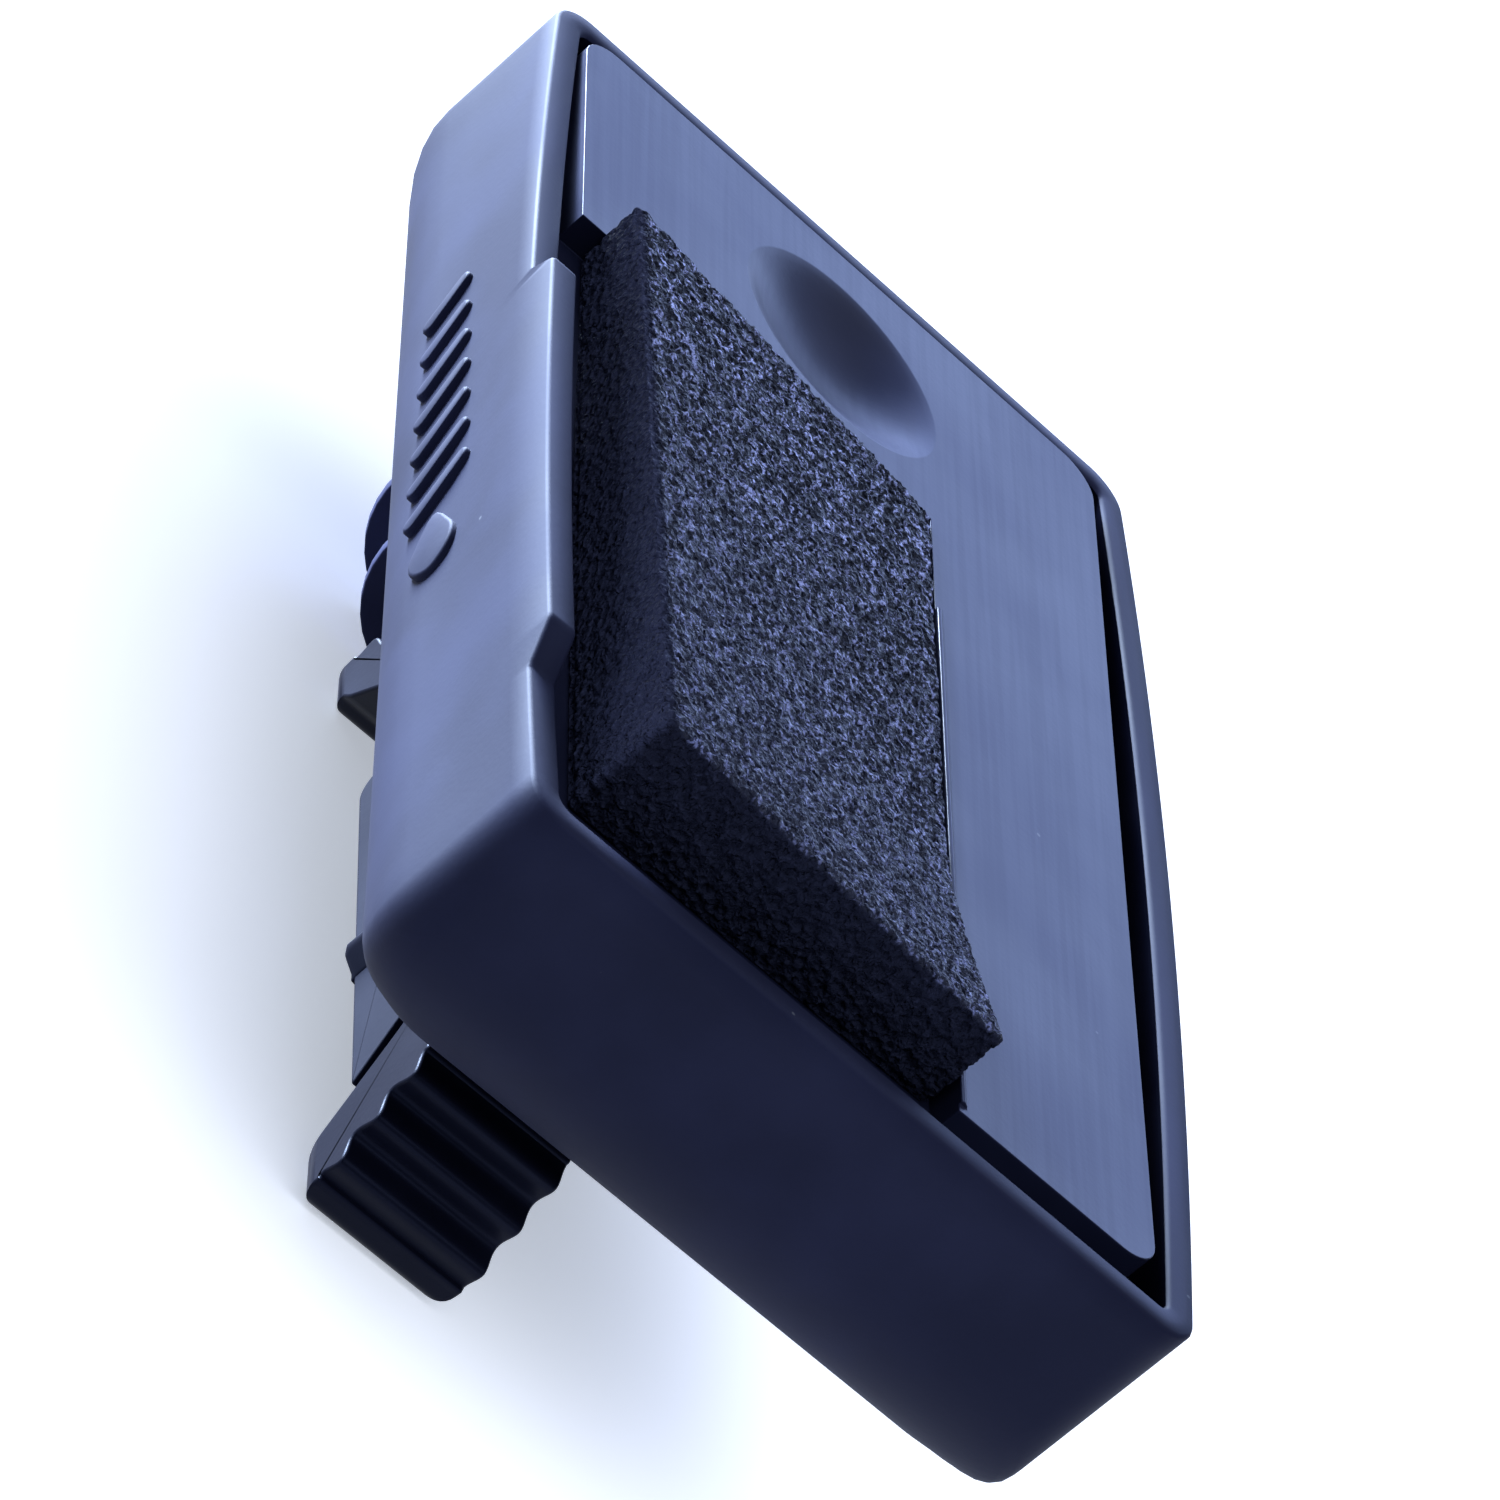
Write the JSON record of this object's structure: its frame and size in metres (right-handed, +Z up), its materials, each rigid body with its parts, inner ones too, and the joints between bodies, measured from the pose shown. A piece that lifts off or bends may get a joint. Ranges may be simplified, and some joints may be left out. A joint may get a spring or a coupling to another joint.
{
  "type": "ink pad",
  "caption": "Clip-in ink pad: shallow tray, sprung carrier plate with a foam ink pad and a fill dimple, and a squeeze-to-release latch with ribbed levers and barbed clips underneath.",
  "frame": {"origin": "centre of the bounding box in X and Y, at the plane that the part stands on", "axes": "+X across the tray, away from the raised guard; +Y along the tray, away from the foam end; +Z up, out of the pad"},
  "size_m": [0.0254, 0.0442, 0.0179],
  "materials": {
    "black_plastic": "fine moulded texture, satin",
    "carrier_plastic": "semi-gloss with fine rub marks",
    "foam": "open-cell foam soaked with dark ink",
    "felt": "pressed felt",
    "steel": "drawn wire and pins"
  },
  "bodies": {
    "tray": {"tray_shell": "black_plastic", "latch_base": "black_plastic", "locating_spool": "black_plastic", "base_screw_1": "steel", "base_screw_2": "steel", "near_hinge_pin": "steel", "far_hinge_pin": "steel", "near_lever_spring": "steel", "far_lever_spring": "steel", "carrier_spring_1": "steel", "carrier_spring_2": "steel", "carrier_spring_3": "steel", "carrier_spring_4": "steel"},
    "carrier": {"pad_carrier": "carrier_plastic", "foam_pad": "foam", "ink_felt": "felt"},
    "near_lever": {"near_lever": "black_plastic"},
    "far_lever": {"far_lever": "black_plastic"},
    "left_clip": {"clip_plate_left": "black_plastic"},
    "right_clip": {"clip_plate_right": "black_plastic"}
  },
  "joints": [
    {"name": "carrier_press", "type": "slide", "parent": "tray", "child": "carrier", "axis": [0, 0, -1], "range_m": [0, 0.0012], "stiffness_N_per_m": 600, "springref_m": -0.001, "deforming": ["carrier_spring_1", "carrier_spring_2", "carrier_spring_3", "carrier_spring_4"]},
    {"name": "near_lever_squeeze", "type": "hinge", "parent": "tray", "child": "near_lever", "pos_m": [-0.0037, -0.0152, 0.00445], "axis": [1, 0, 0], "range_deg": [0, 6], "stiffness_Nm_per_rad": 0.03, "springref_deg": -5.73},
    {"name": "far_lever_squeeze", "type": "hinge", "parent": "tray", "child": "far_lever", "pos_m": [-0.0037, 0.004, 0.00445], "axis": [-1, 0, 0], "range_deg": [0, 6], "stiffness_Nm_per_rad": 0.03, "springref_deg": -5.73},
    {"name": "left_clip_flex", "type": "hinge", "parent": "tray", "child": "left_clip", "pos_m": [-0.0059, -0.0068, 0.0052], "axis": [0, -1, 0], "range_deg": [0, 8], "stiffness_Nm_per_rad": 0.05},
    {"name": "right_clip_flex", "type": "hinge", "parent": "tray", "child": "right_clip", "pos_m": [-0.0015, -0.0068, 0.0052], "axis": [0, 1, 0], "range_deg": [0, 8], "stiffness_Nm_per_rad": 0.05}
  ]
}
